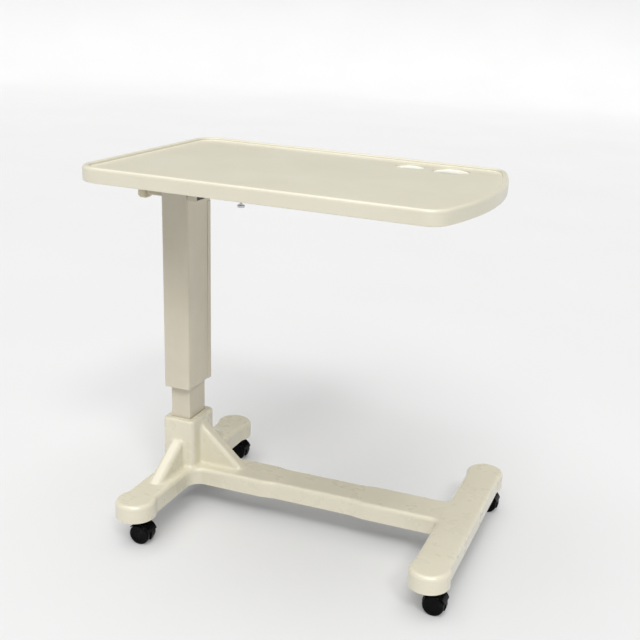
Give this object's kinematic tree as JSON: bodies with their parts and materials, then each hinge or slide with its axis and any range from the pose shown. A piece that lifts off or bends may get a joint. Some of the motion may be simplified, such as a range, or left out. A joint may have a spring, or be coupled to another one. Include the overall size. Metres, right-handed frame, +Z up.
{
  "type": "overbed table",
  "caption": "Overbed table: moulded tray top with cup recesses on a height-adjustable side column, H-shaped base on twin-wheel castors.",
  "frame": {"origin": "on the floor, at the centre of the whole table's footprint box", "axes": "+X along the tabletop from the column end to the bowed free end, +Y across the tabletop towards the cup recesses, +Z up"},
  "size_m": [0.761, 0.498, 0.753],
  "materials": {
    "cover_plastic": "moulded ivory, soft gloss",
    "tray_plastic": "moulded ivory, satin",
    "beige_paint": "beige powder coat",
    "zinc_steel": "bright zinc",
    "dark_steel": "dark grey paint",
    "black_plastic": "black nylon",
    "nylon": "natural nylon",
    "chrome_rod": "hard chrome",
    "grip_plastic": "moulded beige"
  },
  "bodies": {
    "base": {"base_cover": "cover_plastic", "frame_crossbar_left": "dark_steel", "frame_crossbar_right": "dark_steel", "frame_centre_beam": "dark_steel", "frame_tube_plugs": "black_plastic", "castor_sockets": "zinc_steel", "castor_stems": "zinc_steel", "cover_screws": "zinc_steel", "column_flange": "dark_steel", "flange_bolts": "zinc_steel", "inner_column": "beige_paint", "upper_bush": "nylon", "spring_foot": "zinc_steel", "spring_foot_pin": "zinc_steel", "spring_cylinder": "dark_steel", "spring_gland": "black_plastic"},
    "carriage": {"outer_sleeve": "beige_paint", "sleeve_rear_cover": "beige_paint", "lower_bush": "nylon", "spring_rod": "chrome_rod", "release_head": "zinc_steel", "head_bolts": "zinc_steel", "pivot_pin": "zinc_steel", "sleeve_top_plate": "dark_steel", "rail_front": "dark_steel", "rail_rear": "dark_steel", "rail_bolts": "zinc_steel", "rail_caps": "black_plastic", "cross_straps": "dark_steel", "strap_rivets": "zinc_steel", "side_housing": "beige_paint", "side_housing_bolts": "zinc_steel", "housing_plug": "black_plastic", "housing_plug_screw": "zinc_steel", "hanging_studs": "zinc_steel", "top_screws": "zinc_steel", "table_top": "tray_plastic"},
    "valve_pin": {"release_pin": "chrome_rod"},
    "lever": {"release_lever": "zinc_steel", "lever_grip": "grip_plastic"},
    "castor_fl": {"castor_fl_housing": "black_plastic", "castor_fl_axle": "zinc_steel"},
    "wheel_fl_a": {"castor_fl_wheel_a": "black_plastic"},
    "wheel_fl_b": {"castor_fl_wheel_b": "black_plastic"},
    "castor_fr": {"castor_fr_housing": "black_plastic", "castor_fr_axle": "zinc_steel"},
    "wheel_fr_a": {"castor_fr_wheel_a": "black_plastic"},
    "wheel_fr_b": {"castor_fr_wheel_b": "black_plastic"},
    "castor_rl": {"castor_rl_housing": "black_plastic", "castor_rl_axle": "zinc_steel"},
    "wheel_rl_a": {"castor_rl_wheel_a": "black_plastic"},
    "wheel_rl_b": {"castor_rl_wheel_b": "black_plastic"},
    "castor_rr": {"castor_rr_housing": "black_plastic", "castor_rr_axle": "zinc_steel"},
    "wheel_rr_a": {"castor_rr_wheel_a": "black_plastic"},
    "wheel_rr_b": {"castor_rr_wheel_b": "black_plastic"}
  },
  "joints": [
    {"name": "height", "type": "slide", "parent": "base", "child": "carriage", "axis": [0, 0, 1], "range_m": [-0.066, 0.205]},
    {"name": "lever_lift", "type": "hinge", "parent": "carriage", "child": "lever", "pos_m": [-0.2895, 0, 0.684], "axis": [0, 1, 0], "range_deg": [0, 6], "stiffness_Nm_per_rad": 3, "springref_deg": -5.73},
    {"name": "valve_press", "type": "slide", "parent": "carriage", "child": "valve_pin", "axis": [0, 0, 1], "range_m": [-0.0017, 0]},
    {"name": "castor_fl_swivel", "type": "hinge", "parent": "base", "child": "castor_fl", "pos_m": [-0.2745, -0.209, 0.05], "axis": [0, 0, 1], "continuous": true},
    {"name": "castor_fl_roll_a", "type": "hinge", "parent": "castor_fl", "child": "wheel_fl_a", "pos_m": [-0.2605, -0.209, 0.021], "axis": [0, 1, 0], "continuous": true},
    {"name": "castor_fl_roll_b", "type": "hinge", "parent": "castor_fl", "child": "wheel_fl_b", "pos_m": [-0.2605, -0.209, 0.021], "axis": [0, 1, 0], "continuous": true},
    {"name": "castor_fr_swivel", "type": "hinge", "parent": "base", "child": "castor_fr", "pos_m": [0.3405, -0.209, 0.05], "axis": [0, 0, 1], "continuous": true},
    {"name": "castor_fr_roll_a", "type": "hinge", "parent": "castor_fr", "child": "wheel_fr_a", "pos_m": [0.3545, -0.209, 0.021], "axis": [0, 1, 0], "continuous": true},
    {"name": "castor_fr_roll_b", "type": "hinge", "parent": "castor_fr", "child": "wheel_fr_b", "pos_m": [0.3545, -0.209, 0.021], "axis": [0, 1, 0], "continuous": true},
    {"name": "castor_rl_swivel", "type": "hinge", "parent": "base", "child": "castor_rl", "pos_m": [-0.2745, 0.209, 0.05], "axis": [0, 0, 1], "continuous": true},
    {"name": "castor_rl_roll_a", "type": "hinge", "parent": "castor_rl", "child": "wheel_rl_a", "pos_m": [-0.2605, 0.209, 0.021], "axis": [0, 1, 0], "continuous": true},
    {"name": "castor_rl_roll_b", "type": "hinge", "parent": "castor_rl", "child": "wheel_rl_b", "pos_m": [-0.2605, 0.209, 0.021], "axis": [0, 1, 0], "continuous": true},
    {"name": "castor_rr_swivel", "type": "hinge", "parent": "base", "child": "castor_rr", "pos_m": [0.3405, 0.209, 0.05], "axis": [0, 0, 1], "continuous": true},
    {"name": "castor_rr_roll_a", "type": "hinge", "parent": "castor_rr", "child": "wheel_rr_a", "pos_m": [0.3545, 0.209, 0.021], "axis": [0, 1, 0], "continuous": true},
    {"name": "castor_rr_roll_b", "type": "hinge", "parent": "castor_rr", "child": "wheel_rr_b", "pos_m": [0.3545, 0.209, 0.021], "axis": [0, 1, 0], "continuous": true}
  ],
  "couplings": [
    {"joint": "valve_press", "follows": "lever_lift", "m_per_rad": -0.015}
  ]
}
